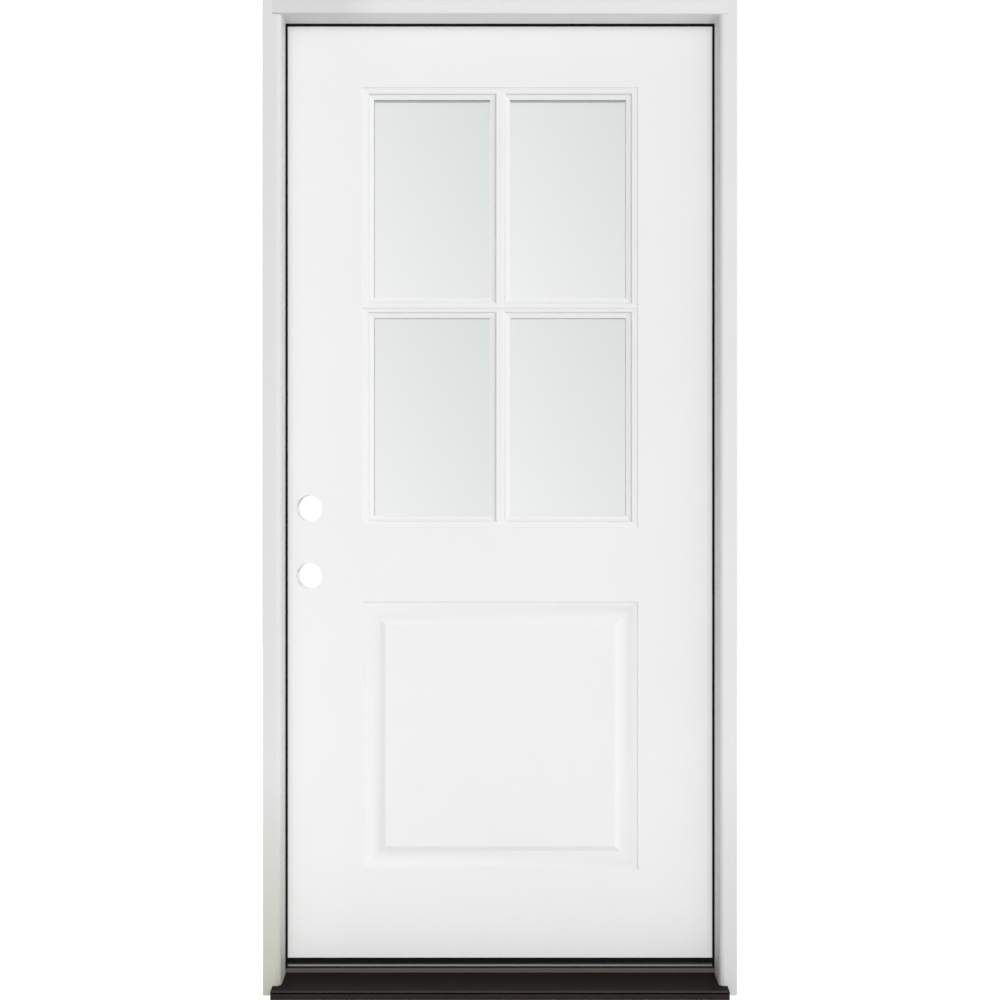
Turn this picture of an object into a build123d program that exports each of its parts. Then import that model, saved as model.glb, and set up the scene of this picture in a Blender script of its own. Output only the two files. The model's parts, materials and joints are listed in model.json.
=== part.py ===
from build123d import *
import math
import os

# Prehung front door, seen from outside along +Y, with +Z up and +X to the right.
# Design frame: x = 0 on the centre line of the unit, y = 0 on the outside face of
# the jambs, z = 0 under the sill. Every piece is moved at the end, so that the origin
# lies on the outer face of the hinge jamb, halfway across its depth, at sill level.
# All lengths are in millimetres.

# Door leaf
LEAF_WIDTH = 908.05
LEAF_HEIGHT = 1936.75
LEAF_THICKNESS = 44.45
SKIN_THICKNESS = 2.0
STILE_WIDTH = 32.0
TOP_RAIL_HEIGHT = 34.0
BOTTOM_RAIL_HEIGHT = 40.0

# Frame round the leaf
JAMB_DEPTH = 115.9
RABBET_JAMB_THICKNESS = 19.05
STOP_THICKNESS = 18.0
STOP_EASE = 11.0
HEAD_STOP_EASE = 4.0
EDGE_EASE = 1.2
RUN_GAP = 5.0
SEAL_SPACE = 12.7

# Seal in the kerf of the stop
KERF_WIDTH = 2.6
KERF_DEPTH = 11.0
KERF_FROM_RABBET = 2.5
SEAL_STEM = 2.0
SEAL_STEM_DEPTH = 10.0
SEAL_OVERHANG = 4.2
SEAL_UNDERCUT = 3.4
SEAL_ROOT_DROP = 2.3
SEAL_NOSE_RADIUS = 3.0

# Sill
SILL_HEIGHT = 38.1
SILL_NOSING = 27.0
NOSING_HEIGHT = 17.0
TREAD_BACK_HEIGHT = 25.0
TREAD_WALL = 2.0
RISER_HEIGHT = 35.0
RISER_SETBACK = 4.0
CAP_FLOOR_HEIGHT = 24.0
CAP_WIDTH = 42.0
CAP_CROWN = 1.4
NOSING_GROOVE = 1.2
NOSING_GROOVE_COUNT = 3
LEAF_ABOVE_SILL = 15.5
SEAT_GAP = 0.3

# Sweep under the leaf
SWEEP_PLATE = 2.6
SWEEP_FIN = 1.4
SWEEP_FIN_COUNT = 4

# Half glass with four lights
LITE_WIDTH = 570.0
LITE_HEIGHT = 910.0
LITE_BELOW_TOP = 139.35
STICK_WIDTH = 24.0
QUIRK_RUN = 2.2
QUIRK_DEPTH = 1.6
FLAT_DEPTH = 2.6
OVOLO_RADIUS = 4.5
LIP_WIDTH = 10.0
GLASS_DEPTH = 10.0
GLASS_THICKNESS = 4.0
FRAME_LEG = 8.0
GLASS_EDGE_GAP = 2.0
SPACER_WIDTH = 12.0
MUNTIN_WIDTH = 41.0

# Raised panel moulded into the skins
PANEL_HEIGHT = 554.0
PANEL_ABOVE_BOTTOM = 181.5
PANEL_STICK = 26.0
PANEL_DEPTH = 7.5
FIELD_DEPTH = 0.4
RAISE_RADIUS = 38.0
RAISE_START_ANGLE = 4.0
RAISE_SLOPE_ANGLE = 22.0

# Lock bores and strikes
BORE_RADIUS = 27.0
BACKSET = 60.3
LATCH_ABOVE_BOTTOM = 788.0
BORE_SPACING = 139.7
LATCH_BORE_RADIUS = 12.7
BLOCK_MARGIN = 85.0
STRIKE_LENGTH = 57.0
STRIKE_WIDTH = 28.0
STRIKE_DEPTH = 2.0
STRIKE_HOLE_DEPTH = 16.0

# Butt hinges
HINGE_LENGTH = 101.6
HINGE_LEAF = 2.4
HINGE_CORNER = 6.0
KNUCKLE_RADIUS = 6.35
KNUCKLE_COUNT = 5
KNUCKLE_GAP = 0.4
PIN_RADIUS = 3.2
PIN_CLEARANCE = 0.05
PIN_OFFSET = 8.0
PIN_HEAD_RADIUS = 5.4
PIN_HEAD_HEIGHT = 3.0
PIN_HEAD_BEVEL = 1.6
HINGE_EDGE_MARGIN = 6.35
HINGE_FROM_TOP = 229.0
HINGE_FROM_BOTTOM = 330.0

# Worked out from the sizes above
CLEAR_WIDTH = LEAF_WIDTH + 2 * RUN_GAP
UNIT_WIDTH = CLEAR_WIDTH + 2 * RABBET_JAMB_THICKNESS
LEAF_BOTTOM = SILL_HEIGHT + LEAF_ABOVE_SILL
LEAF_TOP = LEAF_BOTTOM + LEAF_HEIGHT
HEAD_RABBET_Z = LEAF_TOP + RUN_GAP
UNIT_HEIGHT = HEAD_RABBET_Z + RABBET_JAMB_THICKNESS
LEAF_OUT_Y = JAMB_DEPTH - LEAF_THICKNESS
STOP_Y = LEAF_OUT_Y - SEAL_SPACE
STOP_HALF = CLEAR_WIDTH / 2 - STOP_THICKNESS
RISER_Y = STOP_Y + RISER_SETBACK
CAP_Y0 = JAMB_DEPTH - TREAD_WALL - SEAT_GAP - CAP_WIDTH
HEAD_STOP_Z = HEAD_RABBET_Z - STOP_THICKNESS
LITE_TOP = LEAF_TOP - LITE_BELOW_TOP
LITE_BOTTOM = LITE_TOP - LITE_HEIGHT
LITE_MID = (LITE_TOP + LITE_BOTTOM) / 2
PANEL_BOTTOM = LEAF_BOTTOM + PANEL_ABOVE_BOTTOM
BORE_X = -LEAF_WIDTH / 2 + BACKSET
LATCH_Z = LEAF_BOTTOM + LATCH_ABOVE_BOTTOM
BORE_HEIGHTS = [LATCH_Z, LATCH_Z + BORE_SPACING]
LEAF_MID_Y = LEAF_OUT_Y + LEAF_THICKNESS / 2
PIN_X = LEAF_WIDTH / 2 + RUN_GAP / 2
PIN_Y = JAMB_DEPTH + PIN_OFFSET
TOP_HINGE_Z = LEAF_TOP - HINGE_FROM_TOP
BOTTOM_HINGE_Z = LEAF_BOTTOM + HINGE_FROM_BOTTOM
HINGE_HEIGHTS = {
    "top": TOP_HINGE_Z,
    "middle": (TOP_HINGE_Z + BOTTOM_HINGE_Z) / 2,
    "bottom": BOTTOM_HINGE_Z,
}
ORIGIN = Vector(UNIT_WIDTH / 2, JAMB_DEPTH / 2, 0)
OVERCUT = 5.0


def block(x0, x1, y0, y1, z0, z1):
    """A box between two corners."""
    size = (x1 - x0, y1 - y0, z1 - z0)
    middle = ((x0 + x1) / 2, (y0 + y1) / 2, (z0 + z1) / 2)
    return Pos(*middle) * Box(*size)


def along_x(face, x0, x1):
    """Extrude a face drawn as (y, z) from x0 to x1."""
    plane = Plane(origin=(x0, 0, 0), x_dir=(0, 1, 0), z_dir=(1, 0, 0))
    return extrude(plane * face, x1 - x0)


def along_z(face, z0, z1):
    """Extrude a face drawn as (x, y) from z0 to z1."""
    return extrude(Pos(0, 0, z0) * face, z1 - z0)


def ease(face, spots):
    """Round the corners of a face that lie at the given spots, each with its radius."""
    for x, y, radius in spots:
        corner = face.vertices().sort_by_distance((x, y, 0))[0]
        face = fillet(corner, radius)
    return face


def polygon(points):
    return make_face(Polyline(*points, close=True))


def crossed(seen_from_above, seen_from_side, x0, x1, z0, z1):
    """Solid with one section across x and one across z, each drawn with y up, mitred at its corners."""
    above = Plane(origin=(0, 0, z0), x_dir=(1, 0, 0), z_dir=(0, 0, 1))
    side = Plane(origin=(x1, 0, 0), x_dir=(0, 0, 1), z_dir=(-1, 0, 0))
    return extrude(above * seen_from_above, z1 - z0) & extrude(side * seen_from_side, x1 - x0)


# Frame


def side_jamb_section():
    """Section of the right side jamb: a stop, a rabbet for the leaf and a kerf for the seal."""
    outer = UNIT_WIDTH / 2
    rabbet = CLEAR_WIDTH / 2
    face = polygon(
        [
            (outer, 0),
            (outer, JAMB_DEPTH),
            (rabbet, JAMB_DEPTH),
            (rabbet, STOP_Y),
            (STOP_HALF, STOP_Y),
            (STOP_HALF, 0),
        ]
    )
    face = ease(
        face,
        [
            (STOP_HALF, 0, STOP_EASE),
            (STOP_HALF, STOP_Y, EDGE_EASE),
            (outer, 0, EDGE_EASE),
            (rabbet, JAMB_DEPTH, EDGE_EASE),
        ],
    )
    kerf_x = rabbet - KERF_FROM_RABBET - KERF_WIDTH / 2
    kerf = Pos(kerf_x, STOP_Y - KERF_DEPTH / 2) * Rectangle(KERF_WIDTH, KERF_DEPTH)
    return face - kerf


def sill_envelope():
    """Everything under the top of the sill, which the jamb stops are cut to."""
    top = [
        (-SILL_NOSING, NOSING_HEIGHT),
        (RISER_Y, TREAD_BACK_HEIGHT),
        (RISER_Y, SILL_HEIGHT),
        (JAMB_DEPTH + OVERCUT, SILL_HEIGHT),
    ]
    outline = [(-SILL_NOSING, -OVERCUT)] + top + [(JAMB_DEPTH + OVERCUT, -OVERCUT)]
    return along_x(polygon(outline), -CLEAR_WIDTH / 2, CLEAR_WIDTH / 2)


def hinge_pocket(side):
    """Mortises for one leaf of each hinge, on the jamb at side 1 and on the leaf at side -1."""
    depth = HINGE_LEAF
    plane_x = PIN_X + side * RUN_GAP / 2
    reach = LEAF_THICKNESS - HINGE_EDGE_MARGIN
    pockets = []
    for z in HINGE_HEIGHTS.values():
        x0, x1 = sorted([plane_x - side * OVERCUT, plane_x + side * depth])
        half = HINGE_LENGTH / 2 + SEAT_GAP
        pocket = block(x0, x1, JAMB_DEPTH - reach - SEAT_GAP, JAMB_DEPTH + OVERCUT, z - half, z + half)
        inner = pocket.edges().filter_by(Axis.X).group_by(Axis.Y)[0]
        pockets.append(fillet(inner, HINGE_CORNER))
    return pockets


def strike_pocket(z):
    """Mortise and latch hole in the strike jamb at one bore height."""
    rabbet = -CLEAR_WIDTH / 2
    half = STRIKE_LENGTH / 2
    y0 = LEAF_MID_Y - STRIKE_WIDTH / 2
    y1 = LEAF_MID_Y + STRIKE_WIDTH / 2
    plate = block(rabbet - STRIKE_DEPTH, rabbet + OVERCUT, y0, y1, z - half, z + half)
    hole = Pos(rabbet, LEAF_MID_Y, z) * Rot(0, 90, 0) * Cylinder(LATCH_BORE_RADIUS, 2 * STRIKE_HOLE_DEPTH)
    return [plate, hole]


def side_jambs():
    right = along_z(side_jamb_section(), 0, UNIT_HEIGHT)
    # the head jamb is housed between the two side jambs, down from their tops
    head_room = block(0, CLEAR_WIDTH / 2, -OVERCUT, JAMB_DEPTH + OVERCUT, HEAD_STOP_Z, UNIT_HEIGHT + OVERCUT)
    right = right - head_room - sill_envelope()
    left = mirror(right, Plane.YZ)
    for z in BORE_HEIGHTS:
        left = left - strike_pocket(z)
    return {"hinge_jamb": right - hinge_pocket(1), "strike_jamb": left}


def head_jamb():
    face = polygon(
        [
            (0, HEAD_STOP_Z),
            (0, UNIT_HEIGHT),
            (JAMB_DEPTH, UNIT_HEIGHT),
            (JAMB_DEPTH, HEAD_RABBET_Z),
            (STOP_Y, HEAD_RABBET_Z),
            (STOP_Y, HEAD_STOP_Z),
        ]
    )
    face = ease(
        face,
        [
            (0, HEAD_STOP_Z, HEAD_STOP_EASE),
            (STOP_Y, HEAD_STOP_Z, EDGE_EASE),
            (0, UNIT_HEIGHT, EDGE_EASE),
            (JAMB_DEPTH, HEAD_RABBET_Z, EDGE_EASE),
        ],
    )
    kerf_z = HEAD_RABBET_Z - KERF_FROM_RABBET - KERF_WIDTH / 2
    kerf = Pos(STOP_Y - KERF_DEPTH / 2, kerf_z) * Rectangle(KERF_DEPTH, KERF_WIDTH)
    return along_x(face - kerf, -CLEAR_WIDTH / 2, CLEAR_WIDTH / 2)


def seal_section():
    """Section of the seal: u runs from the rabbet over the stop, v from the stop to the leaf."""
    reach = STOP_THICKNESS + SEAL_OVERHANG
    proud = SEAL_SPACE - RUN_GAP
    bulb = polygon(
        [
            (SEAT_GAP, 0),
            (STOP_THICKNESS, 0),
            (reach, SEAL_UNDERCUT),
            (reach, proud),
            (SEAT_GAP, proud - SEAL_ROOT_DROP),
        ]
    )
    bulb = ease(bulb, [(reach, proud, SEAL_NOSE_RADIUS), (reach, SEAL_UNDERCUT, EDGE_EASE)])
    stem_u = KERF_FROM_RABBET + KERF_WIDTH / 2
    stem = Pos(stem_u, (EDGE_EASE - SEAL_STEM_DEPTH) / 2) * Rectangle(SEAL_STEM, SEAL_STEM_DEPTH + EDGE_EASE)
    return bulb + stem


def seals():
    reach = STOP_THICKNESS + SEAL_OVERHANG
    # on the right jamb u runs to -X and v to +Y
    frame = Plane(origin=(CLEAR_WIDTH / 2, STOP_Y, 0), x_dir=(-1, 0, 0), z_dir=(0, 0, -1))
    bottom = SILL_HEIGHT + SEAT_GAP
    top = HEAD_RABBET_Z - SEAT_GAP
    standing = Pos(0, 0, bottom) * extrude(frame * seal_section(), -(top - bottom))
    # its stem ends under the stop of the head jamb
    standing -= block(0, CLEAR_WIDTH / 2, 0, STOP_Y, HEAD_STOP_Z - SEAT_GAP, UNIT_HEIGHT)
    # under the head u runs down and v to +Y
    half = CLEAR_WIDTH / 2 - reach - SEAT_GAP
    frame = Plane(origin=(-half, STOP_Y, HEAD_RABBET_Z), x_dir=(0, 0, -1), z_dir=(1, 0, 0))
    lying = extrude(frame * seal_section(), 2 * half)
    return {"seal_hinge": standing, "seal_strike": mirror(standing, Plane.YZ), "seal_head": lying}


def tread_outline(inset):
    """Top line of the tread from its nosing to the back, inset by the wall for its underside."""
    nose_y = -SILL_NOSING + inset
    wall_top = RISER_HEIGHT - inset
    return [
        (nose_y, 0),
        (nose_y, NOSING_HEIGHT - inset),
        (RISER_Y + inset, TREAD_BACK_HEIGHT - inset),
        (RISER_Y + inset, wall_top),
    ]


def sill():
    """Tread, composite base and adjustable cap of the sill."""
    x1 = CLEAR_WIDTH / 2 - SEAT_GAP
    shelf_y = CAP_Y0 - SEAT_GAP
    outside = tread_outline(0) + [
        (shelf_y, RISER_HEIGHT),
        (shelf_y, CAP_FLOOR_HEIGHT),
        (JAMB_DEPTH - TREAD_WALL, CAP_FLOOR_HEIGHT),
        (JAMB_DEPTH - TREAD_WALL, RISER_HEIGHT),
        (JAMB_DEPTH, RISER_HEIGHT),
        (JAMB_DEPTH, 0),
    ]
    under_floor = CAP_FLOOR_HEIGHT - TREAD_WALL
    inside = tread_outline(TREAD_WALL) + [
        (shelf_y - TREAD_WALL, RISER_HEIGHT - TREAD_WALL),
        (shelf_y - TREAD_WALL, under_floor),
        (JAMB_DEPTH, under_floor),
        (JAMB_DEPTH, 0),
    ]
    outer_face = ease(
        polygon(outside),
        [
            (-SILL_NOSING, NOSING_HEIGHT, TREAD_WALL),
            (RISER_Y, RISER_HEIGHT, EDGE_EASE),
        ],
    )
    groove_pitch = NOSING_HEIGHT / (NOSING_GROOVE_COUNT + 1)
    for i in range(NOSING_GROOVE_COUNT):
        groove = Rectangle(NOSING_GROOVE, NOSING_GROOVE)
        outer_face -= Pos(-SILL_NOSING, groove_pitch * (i + 1)) * groove
    inner_face = polygon(inside)
    cap_z0 = CAP_FLOOR_HEIGHT
    y1 = CAP_Y0 + CAP_WIDTH
    cap_edge = SILL_HEIGHT - CAP_CROWN
    crown = ThreePointArc((y1, cap_edge), (CAP_Y0 + CAP_WIDTH / 2, SILL_HEIGHT), (CAP_Y0, cap_edge))
    sides = Polyline((CAP_Y0, cap_edge), (CAP_Y0, cap_z0), (y1, cap_z0), (y1, cap_edge))
    return {
        "sill_tread": along_x(outer_face - inner_face, -x1, x1),
        "sill_base": along_x(inner_face, -x1, x1),
        "sill_cap": along_x(make_face([crown, sides]), -x1, x1),
    }


# Leaf


def stick_edge(width):
    """Moulded edge of a light seen across it: a quirk, a flat, an ovolo and a lip down to the glass."""
    flat_end = (width - LIP_WIDTH - OVOLO_RADIUS, FLAT_DEPTH)
    ovolo_end = (width - LIP_WIDTH, FLAT_DEPTH + OVOLO_RADIUS)
    return [
        Polyline((0, 0), (QUIRK_RUN, QUIRK_DEPTH), flat_end),
        TangentArc(flat_end, ovolo_end, tangent=(1, 0)),
        Line(ovolo_end, (width, GLASS_DEPTH)),
    ]


def ogee_edge(width):
    """Moulded edge of the panel seen across it: a quirk, a round and a hollow that ends flat."""
    quirk = (QUIRK_RUN, QUIRK_DEPTH)
    groove = (width, PANEL_DEPTH)
    middle = ((quirk[0] + groove[0]) / 2, (quirk[1] + groove[1]) / 2)
    return [
        Line((0, 0), quirk),
        TangentArc(quirk, middle, tangent=(1, 0)),
        TangentArc(groove, middle, tangent=(-1, 0)),
    ]


def hollow_section(edge, a, b, first_width, last_width, depth):
    """Section of a hollow from a to b, with a moulded edge of its own width at each end."""
    rise = [Pos(a, 0) * piece for piece in edge(first_width)]
    fall = [Pos(b, 0) * mirror(piece, Plane.YZ) for piece in edge(last_width)]
    floor = Line((a + first_width, depth), (b - last_width, depth))
    lid = Polyline((a, 0), (a, -depth), (b, -depth), (b, 0))
    return Pos(0, LEAF_OUT_Y) * make_face(rise + fall + [floor, lid])


def light_hollow(z0, z1, low_width, high_width):
    """One row of lights sunk from the face, with its own width of moulding above and below."""
    half = LITE_WIDTH / 2
    across = hollow_section(stick_edge, -half, half, STICK_WIDTH, STICK_WIDTH, GLASS_DEPTH)
    upright = hollow_section(stick_edge, z0, z1, low_width, high_width, GLASS_DEPTH)
    return crossed(across, upright, -half, half, z0, z1)


def panel_hollow():
    """Moulded hollow round the raised field of the panel."""
    half = LITE_WIDTH / 2
    z0 = PANEL_BOTTOM
    z1 = PANEL_BOTTOM + PANEL_HEIGHT
    across = hollow_section(ogee_edge, -half, half, PANEL_STICK, PANEL_STICK, PANEL_DEPTH)
    upright = hollow_section(ogee_edge, z0, z1, PANEL_STICK, PANEL_STICK, PANEL_DEPTH)
    return crossed(across, upright, -half, half, z0, z1)


def raised_edge():
    """Edge of the field seen across it: a cove that steepens to a straight slope up to the field."""
    start = math.radians(RAISE_START_ANGLE)
    slope = math.radians(RAISE_SLOPE_ANGLE)
    cove_run = RAISE_RADIUS * (math.sin(slope) - math.sin(start))
    cove_end = (cove_run, PANEL_DEPTH - RAISE_RADIUS * (math.cos(start) - math.cos(slope)))
    slope_end = (cove_run + (cove_end[1] - FIELD_DEPTH) / math.tan(slope), FIELD_DEPTH)
    cove = TangentArc((0, PANEL_DEPTH), cove_end, tangent=(math.cos(start), -math.sin(start)))
    return [cove, Line(cove_end, slope_end)], slope_end[0]


def field():
    """Raised field of the panel: a flat top with coved slopes, mitred at its corners."""
    half = LITE_WIDTH / 2 - PANEL_STICK
    z0 = PANEL_BOTTOM + PANEL_STICK
    z1 = PANEL_BOTTOM + PANEL_HEIGHT - PANEL_STICK
    edge, run = raised_edge()

    def section(a, b):
        rise = [Pos(a, 0) * piece for piece in edge]
        fall = [Pos(b, 0) * mirror(piece, Plane.YZ) for piece in edge]
        top = Line((a + run, FIELD_DEPTH), (b - run, FIELD_DEPTH))
        foot = Line((a, PANEL_DEPTH), (b, PANEL_DEPTH))
        return Pos(0, LEAF_OUT_Y) * make_face(rise + fall + [top, foot])

    return crossed(section(-half, half), section(z0, z1), -half, half, z0, z1)


def moulded_half():
    """Outer half of the leaf as one block, with the panel moulded into its face."""
    half = LEAF_WIDTH / 2
    body = block(-half, half, LEAF_OUT_Y, LEAF_MID_Y, LEAF_BOTTOM, LEAF_TOP)
    return body - (panel_hollow() - field())


def lite_opening():
    half = LITE_WIDTH / 2
    return block(-half, half, LEAF_OUT_Y - OVERCUT, JAMB_DEPTH + OVERCUT, LITE_BOTTOM, LITE_TOP)


def face_bores():
    length = LEAF_THICKNESS + 2 * OVERCUT
    return [Pos(BORE_X, LEAF_MID_Y, z) * Rot(90, 0, 0) * Cylinder(BORE_RADIUS, length) for z in BORE_HEIGHTS]


def edge_bores():
    x = -LEAF_WIDTH / 2 + BACKSET / 2
    return [Pos(x, LEAF_MID_Y, z) * Rot(0, 90, 0) * Cylinder(LATCH_BORE_RADIUS, BACKSET) for z in BORE_HEIGHTS]


def swap_faces(shape):
    """Mirror a piece of the outside half of the leaf to its inside half."""
    return mirror(shape, Plane(origin=(0, LEAF_MID_Y, 0), x_dir=(1, 0, 0), z_dir=(0, 1, 0)))


def leaf_body():
    """Skins, stiles, rails, lock block and foam core of the leaf."""
    half = LEAF_WIDTH / 2
    whole = moulded_half()
    behind = Pos(0, SKIN_THICKNESS, 0) * whole
    holes = [lite_opening()] + face_bores()
    skin_out = whole - behind - holes
    skin_in = swap_faces(skin_out) - hinge_pocket(-1)

    y0 = LEAF_OUT_Y + SKIN_THICKNESS
    y1 = JAMB_DEPTH - SKIN_THICKNESS
    stile_in = half - STILE_WIDTH
    rail_z0 = LEAF_BOTTOM + BOTTOM_RAIL_HEIGHT
    rail_z1 = LEAF_TOP - TOP_RAIL_HEIGHT
    stile_hinge = block(stile_in, half, y0, y1, LEAF_BOTTOM, LEAF_TOP) - hinge_pocket(-1)
    stile_lock = block(-half, -stile_in, y0, y1, LEAF_BOTTOM, LEAF_TOP) - edge_bores()
    rail_top = block(-stile_in, stile_in, y0, y1, rail_z1, LEAF_TOP)
    rail_bottom = block(-stile_in, stile_in, y0, y1, LEAF_BOTTOM, rail_z0)
    lite_half = LITE_WIDTH / 2
    block_z0 = BORE_HEIGHTS[0] - BLOCK_MARGIN
    block_z1 = BORE_HEIGHTS[1] + BLOCK_MARGIN
    block_space = block(-stile_in, -lite_half, y0, y1, block_z0, block_z1)
    lock_block = block_space - face_bores() - edge_bores()

    filled = behind & block(-half, half, y0, LEAF_MID_Y, LEAF_BOTTOM, LEAF_TOP)
    filled = filled + swap_faces(filled)
    lock_side = block(-stile_in, -lite_half, y0, y1, block_z1, LITE_TOP)
    lock_rail = block(-stile_in, stile_in, y0, y1, block_z0, LITE_BOTTOM) - block_space - lock_side
    cores = {
        "core_top": filled & block(-stile_in, stile_in, y0, y1, LITE_TOP, rail_z1),
        "core_lock_side": filled & lock_side,
        "core_hinge_side": filled & block(lite_half, stile_in, y0, y1, LITE_BOTTOM, LITE_TOP),
        "core_lock_rail": filled & lock_rail,
        "core_lower": filled & block(-stile_in, stile_in, y0, y1, rail_z0, block_z0),
    }
    return {
        "skin_outside": skin_out,
        "skin_inside": skin_in,
        "stile_hinge": stile_hinge,
        "stile_lock": stile_lock,
        "rail_top": rail_top,
        "rail_bottom": rail_bottom,
        "lock_block": lock_block,
        **cores,
    }


def glass_unit():
    """Two panes with a spacer between them, behind both rows of lights."""
    inset = FRAME_LEG + GLASS_EDGE_GAP
    x1 = LITE_WIDTH / 2 - inset
    z0 = LITE_BOTTOM + inset
    z1 = LITE_TOP - inset
    y0 = LEAF_OUT_Y + GLASS_DEPTH
    y1 = y0 + GLASS_THICKNESS
    pane = block(-x1, x1, y0, y1, z0, z1)
    y2 = JAMB_DEPTH - GLASS_DEPTH - GLASS_THICKNESS
    ring = block(-x1, x1, y1, y2, z0, z1)
    ring -= block(-x1 + SPACER_WIDTH, x1 - SPACER_WIDTH, y1, y2, z0 + SPACER_WIDTH, z1 - SPACER_WIDTH)
    return {"glass_outside": pane, "glass_inside": swap_faces(pane), "glass_spacer": ring}


def lite_frame():
    """Moulded frame round the glass on the outside, with the bar between its two rows of lights."""
    half = LITE_WIDTH / 2
    frame = block(-half, half, LEAF_OUT_Y, LEAF_MID_Y, LITE_BOTTOM, LITE_TOP)
    frame -= light_hollow(LITE_MID, LITE_TOP, MUNTIN_WIDTH / 2, STICK_WIDTH)
    frame -= light_hollow(LITE_BOTTOM, LITE_MID, STICK_WIDTH, MUNTIN_WIDTH / 2)
    pocket_x = half - FRAME_LEG
    pocket_y = LEAF_OUT_Y + GLASS_DEPTH
    pocket_z0 = LITE_BOTTOM + FRAME_LEG
    pocket_z1 = LITE_TOP - FRAME_LEG
    return frame - block(-pocket_x, pocket_x, pocket_y, LEAF_MID_Y + OVERCUT, pocket_z0, pocket_z1)


def muntin(frame):
    """Upright bars between the lights, coped to the moulded edges that they meet."""
    foot = MUNTIN_WIDTH / 2
    lip = foot - LIP_WIDTH
    flat = lip - OVOLO_RADIUS
    lip_depth = FLAT_DEPTH + OVOLO_RADIUS
    outline = [
        Line((-foot, GLASS_DEPTH), (-lip, lip_depth)),
        TangentArc((-flat, FLAT_DEPTH), (-lip, lip_depth), tangent=(-1, 0)),
        Line((-flat, FLAT_DEPTH), (flat, FLAT_DEPTH)),
        TangentArc((flat, FLAT_DEPTH), (lip, lip_depth), tangent=(1, 0)),
        Line((lip, lip_depth), (foot, GLASS_DEPTH)),
        Line((foot, GLASS_DEPTH), (-foot, GLASS_DEPTH)),
    ]
    bar = along_z(Pos(0, LEAF_OUT_Y) * make_face(outline), LITE_BOTTOM, LITE_TOP)
    return bar - frame


def sweep():
    """Plate under the leaf with a row of fins that hang over the cap."""
    y0 = LEAF_OUT_Y + SKIN_THICKNESS
    y1 = JAMB_DEPTH - SKIN_THICKNESS
    z0 = SILL_HEIGHT + RUN_GAP
    plate = block(-LEAF_WIDTH / 2, LEAF_WIDTH / 2, y0, y1, LEAF_BOTTOM - SWEEP_PLATE, LEAF_BOTTOM)
    pitch = (y1 - y0 - SWEEP_FIN) / (SWEEP_FIN_COUNT - 1)
    for i in range(SWEEP_FIN_COUNT):
        fin_y = y0 + i * pitch
        plate += block(-LEAF_WIDTH / 2, LEAF_WIDTH / 2, fin_y, fin_y + SWEEP_FIN, z0, LEAF_BOTTOM - SWEEP_PLATE)
    return plate


# Hinges


def hinge_leaf(side, z):
    """Leaf of one hinge with its knuckles, for the jamb at side 1 and for the leaf at side -1."""
    plane_x = PIN_X + side * RUN_GAP / 2
    x0, x1 = sorted([plane_x, plane_x + side * HINGE_LEAF])
    half = HINGE_LENGTH / 2
    far_y = JAMB_DEPTH - LEAF_THICKNESS + HINGE_EDGE_MARGIN
    near_y = PIN_Y - KNUCKLE_RADIUS - KNUCKLE_GAP
    plate = block(x0, x1, far_y, near_y, z - half, z + half)
    plate = fillet(plate.edges().filter_by(Axis.X).group_by(Axis.Y)[0], HINGE_CORNER)
    pitch = HINGE_LENGTH / KNUCKLE_COUNT
    first = 0 if side == 1 else 1
    for i in range(first, KNUCKLE_COUNT, 2):
        k0 = z - half + i * pitch + KNUCKLE_GAP / 2
        k1 = k0 + pitch - KNUCKLE_GAP
        barrel = Pos(PIN_X, PIN_Y, (k0 + k1) / 2) * Cylinder(KNUCKLE_RADIUS, k1 - k0)
        plate += barrel
        plate += block(x0, x1, near_y - KNUCKLE_GAP, PIN_Y, k0, k1)
    bore = Pos(PIN_X, PIN_Y, z) * Cylinder(PIN_RADIUS + PIN_CLEARANCE, HINGE_LENGTH + 2 * OVERCUT)
    return plate - bore


def hinge_pin(z):
    shank = Pos(PIN_X, PIN_Y, z) * Cylinder(PIN_RADIUS, HINGE_LENGTH)
    head_z = z + HINGE_LENGTH / 2 + PIN_HEAD_HEIGHT / 2
    head = Pos(PIN_X, PIN_Y, head_z) * Cylinder(PIN_HEAD_RADIUS, PIN_HEAD_HEIGHT)
    head = chamfer(head.edges().filter_by(GeomType.CIRCLE).group_by(Axis.Z)[-1], PIN_HEAD_BEVEL)
    return shank + head


def hinges():
    pieces = {}
    for name, z in HINGE_HEIGHTS.items():
        pieces[f"hinge_jamb_leaf_{name}"] = hinge_leaf(1, z)
        pieces[f"hinge_door_leaf_{name}"] = hinge_leaf(-1, z)
        pieces[f"hinge_pin_{name}"] = hinge_pin(z)
    return pieces


def main():
    frame = lite_frame()
    bars = muntin(frame)
    pieces = {
        **side_jambs(),
        "head_jamb": head_jamb(),
        **seals(),
        **sill(),
        **leaf_body(),
        **glass_unit(),
        "lite_frame_outside": frame,
        "lite_frame_inside": swap_faces(frame),
        "muntin_outside": bars,
        "muntin_inside": swap_faces(bars),
        "door_sweep": sweep(),
        **hinges(),
    }
    os.makedirs("parts", exist_ok=True)
    for name, piece in pieces.items():
        export_step(Pos(*(-ORIGIN)) * piece, f"parts/{name}.step")


main()
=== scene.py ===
import json
import math

import bmesh
import bpy
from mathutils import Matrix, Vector
from mathutils.bvhtree import BVHTree


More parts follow.
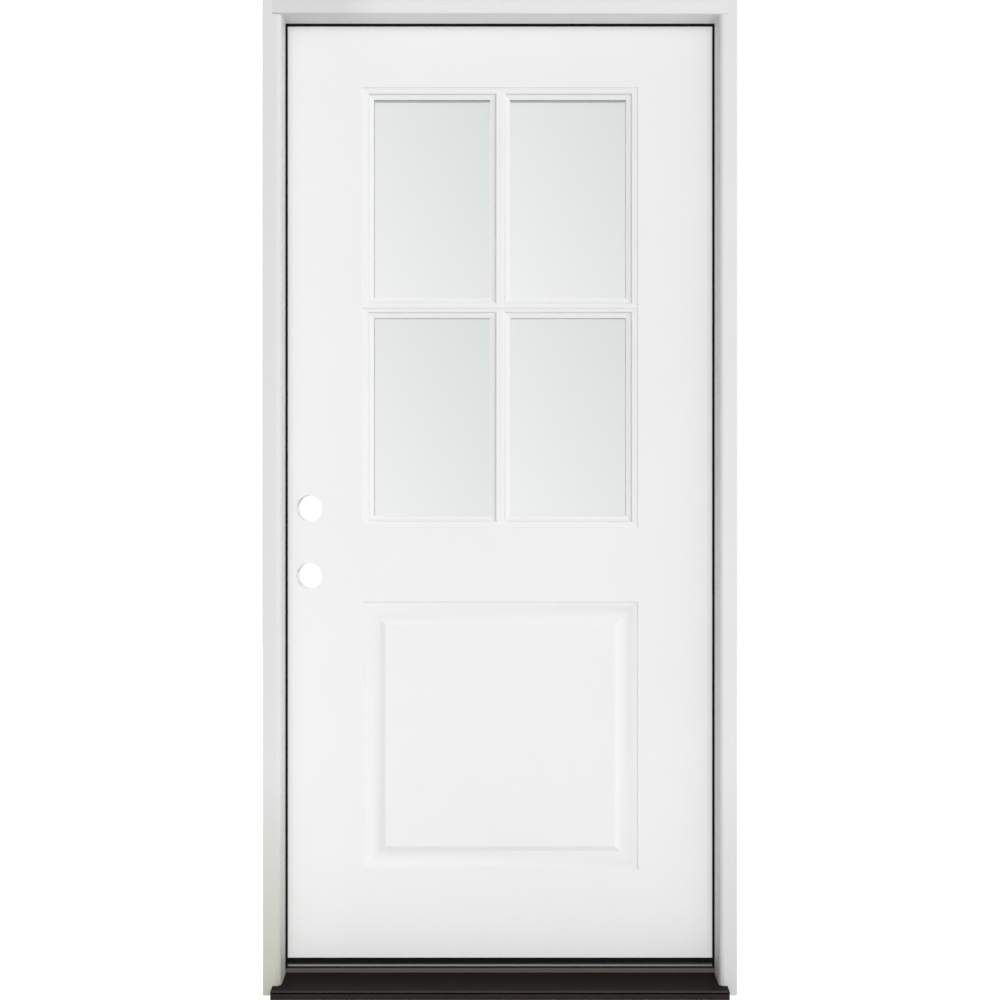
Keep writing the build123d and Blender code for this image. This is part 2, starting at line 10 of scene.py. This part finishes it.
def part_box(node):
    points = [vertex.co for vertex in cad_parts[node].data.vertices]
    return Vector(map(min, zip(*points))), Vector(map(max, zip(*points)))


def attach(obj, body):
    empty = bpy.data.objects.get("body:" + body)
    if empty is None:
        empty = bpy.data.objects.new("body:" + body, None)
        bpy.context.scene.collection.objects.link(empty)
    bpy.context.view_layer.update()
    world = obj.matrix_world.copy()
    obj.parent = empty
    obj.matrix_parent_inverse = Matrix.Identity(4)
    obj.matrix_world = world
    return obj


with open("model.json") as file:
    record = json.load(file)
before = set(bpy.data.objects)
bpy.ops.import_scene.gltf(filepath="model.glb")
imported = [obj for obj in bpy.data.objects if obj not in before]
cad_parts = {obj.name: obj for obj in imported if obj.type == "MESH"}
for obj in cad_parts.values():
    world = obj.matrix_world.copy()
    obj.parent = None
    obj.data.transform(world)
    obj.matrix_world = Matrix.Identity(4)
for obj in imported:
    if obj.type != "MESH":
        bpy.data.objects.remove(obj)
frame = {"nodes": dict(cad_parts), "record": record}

# A prehung white front door on a plain studio floor. Lengths are metres in the row frame:
# +X out of the hinge jamb, +Y from outside to inside, +Z up from the underside of the sill.
MM = 0.001
NODES = frame["nodes"]
SLOT_OF = {part["node"]: part["material_slot"] for part in frame["record"]["subparts"]}
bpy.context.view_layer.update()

# Camera, level with the middle of the door, seen from outside
CAMERA_DISTANCE = 2.87
CAMERA_HEIGHT = 0.9985
CAMERA_LENS = 51.29
SENSOR_WIDTH = 36.0

# Two suns: the key from the right and above, and a weaker one behind the door
KEY_DIRECTION = (-0.36, 0.9, -0.44)
KEY_STRENGTH = 1.80
KEY_ANGLE = math.radians(8)
BACK_DIRECTION = (0.45, -1.0, -0.60)
BACK_STRENGTH = 0.9
BACK_ANGLE = math.radians(30)

# Room: its light, how much that grows to the right and upward, and the backdrop as a light and
# as the camera sees it. The backdrop fades in between two values of a direction's y.
ROOM_LIGHT = 0.395
ROOM_TO_RIGHT = 0.18
ROOM_TO_TOP = 0.01
BACKDROP_LIGHT = 0.90
BACKDROP_WHITE = 1.02
BACKDROP_EDGE = (0.45, 0.85)

# Floor, with a glow that only the camera sees
FLOOR_RADIUS = 7.0
FLOOR_SIDES = 96
FLOOR_COLOUR = (0.92, 0.92, 0.915)
FLOOR_GLOW = 0.80

# Direction of a grain, as stretch of its noise along x, y and z
EVEN = (1, 1, 1)
ALONG_X = (0.03, 1, 1)
ALONG_Z = (1, 1, 0.03)

# White coatings. A crease is painted shade in the creases of a moulding: how dark it is and how
# far it reaches. Painted shade towards the foot ends at a height, and the head has painted shade
# at its strike end, between two values of x.
SKIN_WHITE = (0.875, 0.876, 0.876)
SKIN_PAINTED_CREASE = (0.74, 0.022)
LIGHT_FRAME_WHITE = (0.875, 0.876, 0.873)
LIGHT_FRAME_PAINTED_CREASE = (0.86, 0.007)
JAMB_WHITE = (0.755, 0.760, 0.755)
HINGE_JAMB_FOOT_SHADE = (0.64, 0.648, 0.645)
STRIKE_JAMB_FOOT_SHADE = (0.515, 0.522, 0.44)
FOOT_SHADE_TOP = 0.45
SHADED_END_X = (-0.795, -0.72)
PAINTED_END_SHADE = 0.87

# Glass: its colour without and with a painted reflection that darkens it, and the bars that divide
# it into lights
TINTED_UNREFLECTED = (0.985, 1.0, 0.995)
TINTED_PAINTED_REFLECTION = (0.825, 0.852, 0.838)
CLEAR_GLASS = (0.985, 0.992, 0.99)
STICK_WIDTH = 24 * MM
BAR_WIDTH = 41 * MM

# Sill: colours, and the heights between which each band of it lies. The paler riser colour is
# painted light on faces that look out, the groove band is painted shade, and the lip and top
# bands are painted highlights.
TREAD_BRONZE = (0.0165, 0.0128, 0.0122)
RISER_BRONZE_PAINTED_LIGHT = (0.120, 0.105, 0.099)
RISER_FOOT = (0.0255, 0.0265)
NOSING_BRONZE = (0.025, 0.021, 0.0205)
NOSING_LIP_HIGHLIGHT = (0.0088, 0.0108)
NOSING_GROOVE_SHADE = (0.0117, 0.0150)
NOSING_TOP_HIGHLIGHT = (0.0155, 0.0175)

# Sill cap: colours, and the depth at which the pale lip gives way to the dark top, which is a
# painted shadow of the sweep
CAP_PALE = (0.46, 0.44, 0.425)
CAP_PAINTED_SHADOW = (0.05, 0.045, 0.043)
CAP_FRONT = (0.075, 0.068, 0.065)
CAP_LIP_END = (0.0205, 0.0225)

# Soft edges of the CAD nodes
EDGE_ROUND = 0.4 * MM
WELD_REACH = 0.01 * MM
SHARP_ANGLE = math.radians(40)

# Small pieces: radius, height over the surface that carries them and depth below it
SCREW_RADIUS = 4.2 * MM
CAP_SCREW_RADIUS = 4.0 * MM
SCREW_PROUD = 0.5 * MM
PLUG_RADIUS = 3.4 * MM
PLUG_PROUD = 0.45 * MM
SUNK = 0.4 * MM

# Directions of the points of a ring, closer together at the arms of a cross recess
CROSS_ANGLES = [quarter + step for quarter in (0, 90, 180, 270) for step in (0, 14, 28, 45, 62, 76)]

# Places: hinge screws in two staggered rows behind the pin, from low to high; plugs in from the
# edge of the light frame; shares of a length for a row of pieces; start of a ray over a surface
HINGES = ("top", "middle", "bottom")
HINGE_ROWS = (-35.9 * MM, -20.9 * MM)
HINGE_HEIGHTS = (-38 * MM, -14 * MM, 14 * MM, 38 * MM)
PLUG_INSET = 12.0 * MM
ROW_OF_FIVE = (0.04, 0.27, 0.5, 0.73, 0.96)
ROW_OF_THREE = (0.2, 0.5, 0.8)
RAY_LIFT = 5 * MM


# Materials


class Wiring:
    """A node tree and short ways to add nodes to it."""

    def __init__(self, tree):
        self.tree = tree

    def give(self, socket, value):
        """Give a socket a number, a colour or the output of another node."""
        if isinstance(value, bpy.types.NodeSocket):
            self.tree.links.new(value, socket)
        elif socket.type == "RGBA":
            socket.default_value = (*value, 1.0)
        else:
            socket.default_value = value

    def node(self, kind, inputs=None, **settings):
        """Add a node. Its inputs go by name or by number."""
        made = self.tree.nodes.new(kind)
        for name, value in settings.items():
            setattr(made, name, value)
        for name, value in (inputs or {}).items():
            self.give(made.inputs[name], value)
        return made

    def spread(self, value, low, high, new_low=0.0, new_high=1.0):
        """Map a value from one range to another, held at both ends."""
        inputs = {
            "Value": value, "From Min": low, "From Max": high, "To Min": new_low, "To Max": new_high,
        }
        return self.node("ShaderNodeMapRange", inputs).outputs["Result"]

    def math(self, operation, first, second=0.0):
        inputs = {0: first, 1: second}
        return self.node("ShaderNodeMath", inputs, operation=operation).outputs["Value"]

    def mix(self, factor, first, second):
        """Mix two numbers by a factor."""
        inputs = {"Factor": factor, "A": first, "B": second}
        return self.node("ShaderNodeMix", inputs).outputs["Result"]

    def split(self, vector):
        """The x, y and z of a vector."""
        return self.node("ShaderNodeSeparateXYZ", {"Vector": vector}).outputs


class Recipe(Wiring):
    """A material under construction, with its shader."""

    def __init__(self, name):
        self.material = bpy.data.materials.new(name)
        self.material.use_nodes = True
        super().__init__(self.material.node_tree)
        self.shader = self.tree.nodes["Principled BSDF"]

    def place(self, stretch=EVEN):
        """Position on the object in metres, stretched along the axes."""
        where = self.node("ShaderNodeTexCoord").outputs["Object"]
        inputs = {"Vector": where, "Scale": stretch}
        return self.node("ShaderNodeMapping", inputs).outputs["Vector"]

    def noise(self, scale, detail=3.0, stretch=EVEN):
        where = self.place(stretch)
        inputs = {"Vector": where, "Scale": scale, "Detail": detail, "Roughness": 0.55}
        return self.node("ShaderNodeTexNoise", inputs).outputs["Fac"]

    def vary(self, noise, low=0.0, high=1.0):
        """Map the usual range of a noise to another range."""
        return self.spread(noise, 0.3, 0.7, low, high)

    def blend(self, factor, first, second, kind="MIX"):
        """Mix two colours by a factor."""
        made = self.node("ShaderNodeMix", data_type="RGBA", blend_type=kind)
        self.give(made.inputs[0], factor)
        colours = [socket for socket in made.inputs if socket.type == "RGBA"]
        for socket, value in zip(colours, (first, second)):
            self.give(socket, value)
        return next(socket for socket in made.outputs if socket.type == "RGBA")

    def mottled(self, colour, value):
        """A colour made lighter and darker by a number."""
        inputs = {"Red": value, "Green": value, "Blue": value}
        grey = self.node("ShaderNodeCombineColor", inputs).outputs["Color"]
        return self.blend(1.0, colour, grey, "MULTIPLY")

    def edges(self, radius):
        """Where a painted highlight goes: 1 on the edges of a piece and 0 on its faces."""
        rounded = self.node("ShaderNodeBevel", {"Radius": radius}, samples=4).outputs["Normal"]
        flat = self.node("ShaderNodeNewGeometry").outputs["Normal"]
        inputs = {0: rounded, 1: flat}
        alike = self.node("ShaderNodeVectorMath", inputs, operation="DOT_PRODUCT").outputs["Value"]
        return self.spread(alike, 0.995, 0.90)

    def painted_crease_shade(self, reach):
        """Where painted shade goes: 1 in the creases of a piece and 0 on its open faces."""
        inputs = {"Distance": reach}
        made = self.node("ShaderNodeAmbientOcclusion", inputs, samples=8, only_local=True)
        return self.spread(made.outputs["AO"], 1.0, 0.6)

    def upright(self):
        """1 on faces that look straight in or out and 0 on level ones and on the ends."""
        normal = self.node("ShaderNodeNewGeometry").outputs["Normal"]
        return self.math("ABSOLUTE", self.split(normal)["Y"])

    def band(self, value, start, end, soft=0.0003):
        """1 between two values and 0 outside them."""
        rise = self.spread(value, start - soft, start + soft)
        fall = self.spread(value, end - soft, end + soft, 1.0, 0.0)
        return self.math("MULTIPLY", rise, fall)

    def finish(self, colour, roughness, bump=None, strength=0.1, depth=0.0002):
        self.give(self.shader.inputs["Base Color"], colour)
        self.give(self.shader.inputs["Roughness"], roughness)
        if bump is not None:
            inputs = {"Height": bump, "Strength": strength, "Distance": depth}
            normal = self.node("ShaderNodeBump", inputs).outputs["Normal"]
            self.give(self.shader.inputs["Normal"], normal)
        return self.material


def shade(colour, factor):
    return tuple(channel * factor for channel in colour)


def painted(name, colour, grain, grain_scale, grain_depth, foot_shade=None, painted_crease=None, shaded_end=False):
    """Satin white coating: faint clouds, a fine pebble, a painted highlight on the edges and painted
    shade in the creases, at the foot and at one end.
    """
    recipe = Recipe(name)
    cloud = recipe.vary(recipe.noise(2.2, 4.0))
    tone = recipe.blend(cloud, shade(colour, 0.985), shade(colour, 1.01))
    # Painted highlight on the edges
    tone = recipe.blend(recipe.edges(1.2 * MM), tone, shade(colour, 1.03))
    # Painted shade, darker towards the foot
    if foot_shade is not None:
        height = recipe.split(recipe.place())["Z"]
        tone = recipe.blend(recipe.spread(height, FOOT_SHADE_TOP, 0.0), tone, foot_shade)
    # Painted shade in the creases of the mouldings
    if painted_crease is not None:
        crease_shade, reach = painted_crease
        tone = recipe.blend(recipe.painted_crease_shade(reach), tone, shade(colour, crease_shade))
    # Painted shade at the strike end of the head
    if shaded_end:
        along = recipe.split(recipe.place())["X"]
        end_shade_mask = recipe.spread(along, *SHADED_END_X, 1.0, 0.0)
        tone = recipe.blend(end_shade_mask, tone, shade(colour, PAINTED_END_SHADE))
    pebble = recipe.noise(950.0, 2.0)
    streak = recipe.noise(grain_scale, 5.0, grain)
    bump = recipe.math("ADD", recipe.math("MULTIPLY", pebble, 0.35), streak)
    rough = recipe.vary(recipe.noise(14.0, 4.0), 0.40, 0.50)
    return recipe.finish(tone, rough, bump, 0.12, grain_depth)


def jamb_material(name, colour, grain, foot_shade=None, shaded_end=False):
    return painted(name, colour, grain, 90.0, 0.00016, foot_shade, shaded_end=shaded_end)


def light_share(recipe, value, start, end):
    """How far along its own light a point lies, for two lights with a bar between them."""
    size = (end - start - BAR_WIDTH) / 2
    step = size + BAR_WIDTH
    steps = recipe.math("DIVIDE", recipe.math("SUBTRACT", value, start), step)
    return recipe.math("MULTIPLY", recipe.math("FRACT", steps), step / size)


def let_lamps_through(recipe, colour):
    """Mix in a clear shader for rays from lamps, so that they reach what is behind the glass."""
    clear = recipe.node("ShaderNodeBsdfTransparent", {"Color": colour}).outputs["BSDF"]
    lamp = recipe.node("ShaderNodeLightPath").outputs["Is Shadow Ray"]
    inputs = {0: lamp, 1: recipe.shader.outputs["BSDF"], 2: clear}
    both = recipe.node("ShaderNodeMixShader", inputs).outputs["Shader"]
    recipe.give(recipe.tree.nodes["Material Output"].inputs["Surface"], both)


def glass_material(name, unreflected, painted_reflection):
    """Clear glass with a faint cast and a painted reflection, darker to the upper right of each
    light.
    """
    recipe = Recipe(name)
    low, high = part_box("lite_frame_outside")
    where = recipe.split(recipe.place())
    across = light_share(recipe, where["X"], low.x + STICK_WIDTH, high.x - STICK_WIDTH)
    up = light_share(recipe, where["Z"], low.z + STICK_WIDTH, high.z - STICK_WIDTH)
    # Painted reflection: how far towards its darker upper right a point of a light lies
    share = recipe.math("MULTIPLY", recipe.math("ADD", across, up), 0.5)
    streak = recipe.vary(recipe.noise(1.4, 2.0, (1, 1, 0.4)), -0.03, 0.03)
    colour = recipe.blend(recipe.math("ADD", share, streak), unreflected, painted_reflection)
    recipe.shader.inputs["Transmission Weight"].default_value = 1.0
    recipe.shader.inputs["IOR"].default_value = 1.5
    smear = recipe.spread(recipe.noise(9.0, 5.0), 0.45, 0.75, 0.0, 0.02)
    let_lamps_through(recipe, colour)
    return recipe.finish(colour, smear)


def metal(name, colour, roughness, stretch):
    """Brushed or drawn metal: fine lines along the piece and a painted highlight on the edges."""
    recipe = Recipe(name)
    lines = recipe.noise(260.0, 4.0, stretch)
    tone = recipe.blend(recipe.vary(lines), shade(colour, 0.86), shade(colour, 1.1))
    tone = recipe.blend(recipe.edges(0.8 * MM), tone, shade(colour, 1.6))
    recipe.shader.inputs["Metallic"].default_value = 1.0
    rough = recipe.vary(lines, roughness - 0.05, roughness + 0.08)
    return recipe.finish(tone, rough, lines, 0.15, 0.0001)


def dull(name, colour, roughness, scale, bump=0.25, depth=0.0003, edge_highlight=1.25, shine=0.5):
    """Rubber, foam and composite: an even tone with a fine grain and a painted highlight on the
    edges.
    """
    recipe = Recipe(name)
    recipe.shader.inputs["Specular IOR Level"].default_value = shine
    grain = recipe.noise(scale, 4.0)
    tone = recipe.blend(recipe.vary(grain), shade(colour, 0.88), shade(colour, 1.1))
    tone = recipe.blend(recipe.edges(0.8 * MM), tone, shade(colour, edge_highlight))
    rough = recipe.vary(recipe.noise(30.0), roughness - 0.05, roughness + 0.05)
    return recipe.finish(tone, rough, grain, bump, depth)


def sill_material():
    """Bronze sill: drawn lines along it, a dark tread, a paler riser as painted light, and a nosing
    with a painted shade band and painted highlight bands.
    """
    recipe = Recipe("sill_bronze")
    lines = recipe.noise(420.0, 4.0, ALONG_X)
    drawn = recipe.vary(lines, 0.9, 1.1)
    height = recipe.split(recipe.place())["Z"]
    level = recipe.spread(recipe.upright(), 0.75, 0.3)
    # Painted light: faces that look out, above the riser's foot, take the paler riser colour
    tone = recipe.blend(recipe.spread(height, *RISER_FOOT), NOSING_BRONZE, RISER_BRONZE_PAINTED_LIGHT)
    tone = recipe.blend(level, tone, TREAD_BRONZE)
    # Painted highlight on the edges
    tone = recipe.blend(recipe.edges(0.5 * MM), tone, shade(RISER_BRONZE_PAINTED_LIGHT, 0.5))
    # Painted shade in the nosing's groove band, painted highlights on its lip and top bands
    tone = recipe.blend(recipe.band(height, *NOSING_GROOVE_SHADE), tone, shade(TREAD_BRONZE, 0.25))
    tone = recipe.blend(recipe.band(height, *NOSING_LIP_HIGHLIGHT), tone, shade(NOSING_BRONZE, 1.6))
    tone = recipe.blend(recipe.band(height, *NOSING_TOP_HIGHLIGHT), tone, shade(NOSING_BRONZE, 2.2))
    tone = recipe.mottled(tone, drawn)
    recipe.shader.inputs["Specular IOR Level"].default_value = 0.04
    rough = recipe.vary(lines, 0.42, 0.55)
    return recipe.finish(tone, rough, lines, 0.12, 0.0001)


def cap_material():
    """Sill cap with a pale front lip and a painted shadow of the sweep over its top."""
    recipe = Recipe("sill_cap_grey")
    grain = recipe.noise(350.0, 4.0)
    back = recipe.split(recipe.place())["Y"]
    # Painted shadow of the sweep behind the pale lip
    tone = recipe.blend(recipe.spread(back, *CAP_LIP_END), CAP_PALE, CAP_PAINTED_SHADOW)
    tone = recipe.blend(recipe.spread(recipe.upright(), 0.5, 0.8), tone, CAP_FRONT)
    tone = recipe.mottled(tone, recipe.vary(grain, 0.9, 1.08))
    recipe.shader.inputs["Specular IOR Level"].default_value = 0.2
    rough = recipe.vary(recipe.noise(30.0), 0.45, 0.55)
    return recipe.finish(tone, rough, grain, 0.2, 0.0002)


BY_SLOT = {
    "fiberglass_skin": painted("skin_white", SKIN_WHITE, EVEN, 260.0, 0.00008, painted_crease=SKIN_PAINTED_CREASE),
    "lite_frame": painted(
        "light_frame_white", LIGHT_FRAME_WHITE, EVEN, 420.0, 0.00006, painted_crease=LIGHT_FRAME_PAINTED_CREASE
    ),
    "spacer_metal": dull("spacer_white", (0.95, 0.95, 0.945), 0.55, 300.0),
    "stile_composite": dull(
        "stile_white", (0.85, 0.845, 0.83), 0.55, 420.0, bump=0.1, depth=0.0001, edge_highlight=1.05
    ),
    "foam_core": dull("core_foam", (0.86, 0.82, 0.68), 0.85, 300.0, bump=0.6, depth=0.0008),
    "seal_rubber": dull("seal_black", (0.007, 0.007, 0.007), 0.7, 800.0, shine=0.1),
    "sill_bronze": sill_material(),
    "sill_composite": dull("sill_base_brown", (0.10, 0.085, 0.075), 0.7, 220.0),
    "sill_cap": cap_material(),
    "hinge_steel": metal("hinge_nickel", (0.55, 0.53, 0.50), 0.30, ALONG_Z),
}
BY_NODE = {
    "hinge_jamb": jamb_material(
        "jamb_white_right", shade(JAMB_WHITE, 1.045), ALONG_Z, HINGE_JAMB_FOOT_SHADE
    ),
    "strike_jamb": jamb_material(
        "jamb_white_left", shade(JAMB_WHITE, 0.995), ALONG_Z, STRIKE_JAMB_FOOT_SHADE
    ),
    "head_jamb": jamb_material("jamb_white_head", shade(JAMB_WHITE, 1.07), ALONG_X, shaded_end=True),
    "glass_outside": glass_material("glass_tinted", TINTED_UNREFLECTED, TINTED_PAINTED_REFLECTION),
    "glass_inside": glass_material("glass_clear", CLEAR_GLASS, CLEAR_GLASS),
}


def round_edges(node):
    """Take the sharpness off the edges of a CAD node, as paint, moulds and wear do."""
    weld = node.modifiers.new("weld", "WELD")
    weld.merge_threshold = WELD_REACH
    bevel = node.modifiers.new("bevel", "BEVEL")
    bevel.width = EDGE_ROUND
    bevel.segments = 2
    bevel.limit_method = "ANGLE"
    bevel.angle_limit = SHARP_ANGLE
    bevel.harden_normals = True


def dress_nodes():
    """Give every CAD node its material and soft, rounded edges."""
    for name, node in NODES.items():
        round_edges(node)
        material = BY_NODE.get(name) or BY_SLOT[SLOT_OF[name]]
        node.data.materials.clear()
        node.data.materials.append(material)


# Small pieces: screws of the hinges, screws of the sill cap, plugs of the inside light frame


def surface_of(name):
    """The surface of a CAD node, to set small pieces on."""
    mesh = NODES[name].data
    points = [point.co for point in mesh.vertices]
    return BVHTree.FromPolygons(points, [face.vertices for face in mesh.polygons])


def cross_reach(angle, half_width, length):
    """Distance from the middle to the outline of a cross recess."""
    side = math.radians(min(angle % 90, 90 - angle % 90))
    across = half_width / math.sin(side) if side > 0 else math.inf
    return min(length / math.cos(side), across)


def ring(reaches, height):
    """A closed ring of points at given distances from the middle."""
    turns = [math.radians(angle) for angle in CROSS_ANGLES]
    return [
        Vector((reach * math.cos(turn), reach * math.sin(turn), height))
        for reach, turn in zip(reaches, turns)
    ]


def circle(radius, height):
    return ring([radius] * len(CROSS_ANGLES), height)


def cross(half_width, length, height):
    return ring([cross_reach(angle, half_width, length) for angle in CROSS_ANGLES], height)


def screw_rings(radius):
    """Oval head with a cross recess."""
    slot, arm = radius * 0.12, radius * 0.48
    return [
        circle(radius * 0.85, -SUNK),
        circle(radius, 0.0),
        circle(radius * 0.97, SCREW_PROUD * 0.4),
        circle(radius * 0.8, SCREW_PROUD * 0.85),
        circle(radius * 0.6, SCREW_PROUD),
        cross(slot, arm, SCREW_PROUD),
        cross(slot * 0.75, arm * 0.8, -SUNK * 0.6),
    ]


def plug_rings():
    """Domed cap of a screw hole."""
    return [
        circle(PLUG_RADIUS * 0.9, -SUNK),
        circle(PLUG_RADIUS, 0.0),
        circle(PLUG_RADIUS * 0.96, PLUG_PROUD * 0.55),
        circle(PLUG_RADIUS * 0.75, PLUG_PROUD * 0.9),
        circle(PLUG_RADIUS * 0.35, PLUG_PROUD),
    ]


def add_rings(shape, rings, place, normal):
    """Join closed rings into one shell that stands on a surface, both ends capped."""
    turn = normal.to_track_quat("Z", "Y").to_matrix()
    loops = [[shape.verts.new(place + turn @ point) for point in points] for points in rings]
    for lower, upper in zip(loops, loops[1:]):
        for index in range(len(lower)):
            after = (index + 1) % len(lower)
            shape.faces.new((lower[index], lower[after], upper[after], upper[index]))
    shape.faces.new(list(reversed(loops[0])))
    shape.faces.new(loops[-1])


def set_on(shape, rings, surface, start, direction):
    """Stand a small piece where a ray meets the surface that carries it."""
    place, normal, *rest = surface.ray_cast(Vector(start), Vector(direction))
    if place is None:
        raise ValueError(f"nothing carries the piece at {start}")
    if normal.dot(Vector(direction)) > 0:
        normal = -normal
    add_rings(shape, rings, place, normal)


def make_piece(name, shape, body, slot):
    """Turn a shape into an object that rides on a body and wears the material of a slot."""
    bmesh.ops.recalc_face_normals(shape, faces=shape.faces)
    mesh = bpy.data.meshes.new(name)
    shape.to_mesh(mesh)
    shape.free()
    mesh.shade_smooth()
    mesh.set_sharp_from_angle(angle=SHARP_ANGLE)
    mesh.materials.append(BY_SLOT[slot])
    piece = bpy.data.objects.new(name, mesh)
    bpy.context.scene.collection.objects.link(piece)
    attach(piece, body)


def make_hinge_screws(hinge):
    """Four screws in each leaf of a hinge."""
    low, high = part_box("hinge_pin_" + hinge)
    pin = (low + high) / 2
    for side, body, toward in (("jamb", "frame", 1.0), ("door", "leaf", -1.0)):
        surface = surface_of(f"hinge_{side}_leaf_{hinge}")
        shape = bmesh.new()
        for back, up in zip(HINGE_ROWS * 2, HINGE_HEIGHTS):
            start = (pin.x, pin.y + back, pin.z + up)
            set_on(shape, screw_rings(SCREW_RADIUS), surface, start, (toward, 0, 0))
        make_piece(f"screws_{side}_{hinge}", shape, body, "hinge_steel")


def make_cap_screws():
    """Five adjusting screws along the crown of the sill cap."""
    low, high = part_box("sill_cap")
    surface = surface_of("sill_cap")
    shape = bmesh.new()
    for share in ROW_OF_FIVE:
        start = (low.x + share * (high.x - low.x), (low.y + high.y) / 2, high.z + RAY_LIFT)
        set_on(shape, screw_rings(CAP_SCREW_RADIUS), surface, start, (0, 0, -1))
    make_piece("screws_cap", shape, "frame", "hinge_steel")


def make_frame_plugs():
    """Caps over the screws that hold the two halves of the light frame together."""
    low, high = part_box("lite_frame_inside")
    surface = surface_of("lite_frame_inside")
    left, right = low.x + PLUG_INSET, high.x - PLUG_INSET
    bottom, top = low.z + PLUG_INSET, high.z - PLUG_INSET
    places = [(x, bottom + share * (top - bottom)) for x in (left, right) for share in ROW_OF_FIVE]
    places += [(left + share * (right - left), z) for z in (bottom, top) for share in ROW_OF_THREE]
    shape = bmesh.new()
    for x, z in places:
        set_on(shape, plug_rings(), surface, (x, high.y + RAY_LIFT, z), (0, -1, 0))
    make_piece("plugs_light_frame", shape, "leaf", "lite_frame")


# Stage, light and camera


def floor_material():
    """White paper that the camera sees a little brighter than it is lit."""
    recipe = Recipe("floor_paper")
    grain = recipe.noise(500.0)
    tone = recipe.blend(grain, shade(FLOOR_COLOUR, 0.99), shade(FLOOR_COLOUR, 1.01))
    straight = recipe.node("ShaderNodeLightPath").outputs["Is Camera Ray"]
    glow = recipe.math("MULTIPLY", straight, FLOOR_GLOW)
    recipe.give(recipe.shader.inputs["Emission Strength"], glow)
    recipe.shader.inputs["Emission Color"].default_value = (1, 1, 1, 1)
    return recipe.finish(tone, 0.7, grain, 0.05, 0.0002)


def make_floor(centre):
    shape = bmesh.new()
    bmesh.ops.create_circle(shape, cap_ends=True, segments=FLOOR_SIDES, radius=FLOOR_RADIUS)
    mesh = bpy.data.meshes.new("floor")
    shape.to_mesh(mesh)
    shape.free()
    mesh.materials.append(floor_material())
    floor = bpy.data.objects.new("floor", mesh)
    floor.location = (centre.x, centre.y, 0)
    bpy.context.scene.collection.objects.link(floor)


def make_sun(name, direction, strength, angle):
    light = bpy.data.lights.new(name, "SUN")
    light.energy = strength
    light.angle = angle
    holder = bpy.data.objects.new(name, light)
    holder.rotation_euler = Vector(direction).to_track_quat("-Z", "Y").to_euler()
    bpy.context.scene.collection.objects.link(holder)
    return holder


def make_key():
    """Light from the right and above, as even as the photo: it casts no shadow and no glare."""
    holder = make_sun("key_light", KEY_DIRECTION, KEY_STRENGTH, KEY_ANGLE)
    holder.data.use_shadow = False
    holder.visible_glossy = False
    holder.visible_transmission = False


def make_room():
    """Soft light, brighter from the right and from above, with a backdrop behind the door."""
    world = bpy.data.worlds.new("studio")
    world.use_nodes = True
    bpy.context.scene.world = world
    room = Wiring(world.node_tree)
    toward = room.split(room.node("ShaderNodeTexCoord").outputs["Generated"])
    sideways = room.math("MULTIPLY", toward["X"], ROOM_TO_RIGHT)
    upward = room.math("MULTIPLY", toward["Z"], ROOM_TO_TOP)
    soft = room.math("ADD", room.math("ADD", sideways, upward), ROOM_LIGHT)
    behind = room.spread(toward["Y"], *BACKDROP_EDGE)
    lit = room.mix(behind, soft, BACKDROP_LIGHT)
    ray = room.node("ShaderNodeLightPath").outputs
    lit = room.mix(ray["Is Transmission Ray"], lit, BACKDROP_LIGHT)
    strength = room.mix(ray["Is Camera Ray"], lit, BACKDROP_WHITE)
    background = world.node_tree.nodes["Background"]
    background.inputs["Color"].default_value = (1, 1, 1, 1)
    room.give(background.inputs["Strength"], strength)


def make_camera(centre, front):
    camera = bpy.data.cameras.new("camera")
    camera.lens = CAMERA_LENS
    camera.sensor_width = SENSOR_WIDTH
    holder = bpy.data.objects.new("camera", camera)
    holder.location = (centre.x, front - CAMERA_DISTANCE, CAMERA_HEIGHT)
    holder.rotation_euler = (math.radians(90), 0, 0)
    bpy.context.scene.collection.objects.link(holder)
    bpy.context.scene.camera = holder


low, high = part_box("head_jamb")
middle = (low + high) / 2
dress_nodes()
for hinge in HINGES:
    make_hinge_screws(hinge)
make_cap_screws()
make_frame_plugs()
make_floor(middle)
make_key()
make_sun("back_light", BACK_DIRECTION, BACK_STRENGTH, BACK_ANGLE)
make_room()
make_camera(middle, low.y)
bpy.context.scene.view_settings.view_transform = "Standard"
